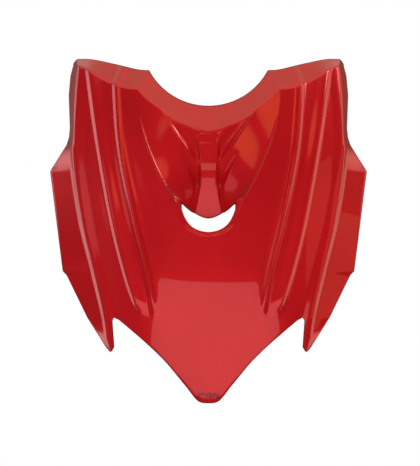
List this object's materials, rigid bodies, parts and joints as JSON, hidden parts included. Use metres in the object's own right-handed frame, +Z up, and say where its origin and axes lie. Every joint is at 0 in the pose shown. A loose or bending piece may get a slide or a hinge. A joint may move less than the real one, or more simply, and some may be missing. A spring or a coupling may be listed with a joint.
{
  "type": "scooter front panel",
  "caption": "Moulded scooter front panel with a steering notch, an intake scoop and slot, long side ridges, wings and screw bosses behind.",
  "frame": {"origin": "midway between the two lower screw bosses, on their end faces", "axes": "+X to the right seen from the front, +Y towards the back, +Z up; the painted face looks along -Y"},
  "size_m": [0.369, 0.1553, 0.4007],
  "materials": {
    "red_paint": "gloss red paint over moulded plastic"
  },
  "bodies": {
    "root": {"front_panel": "red_paint"}
  },
  "joints": []
}
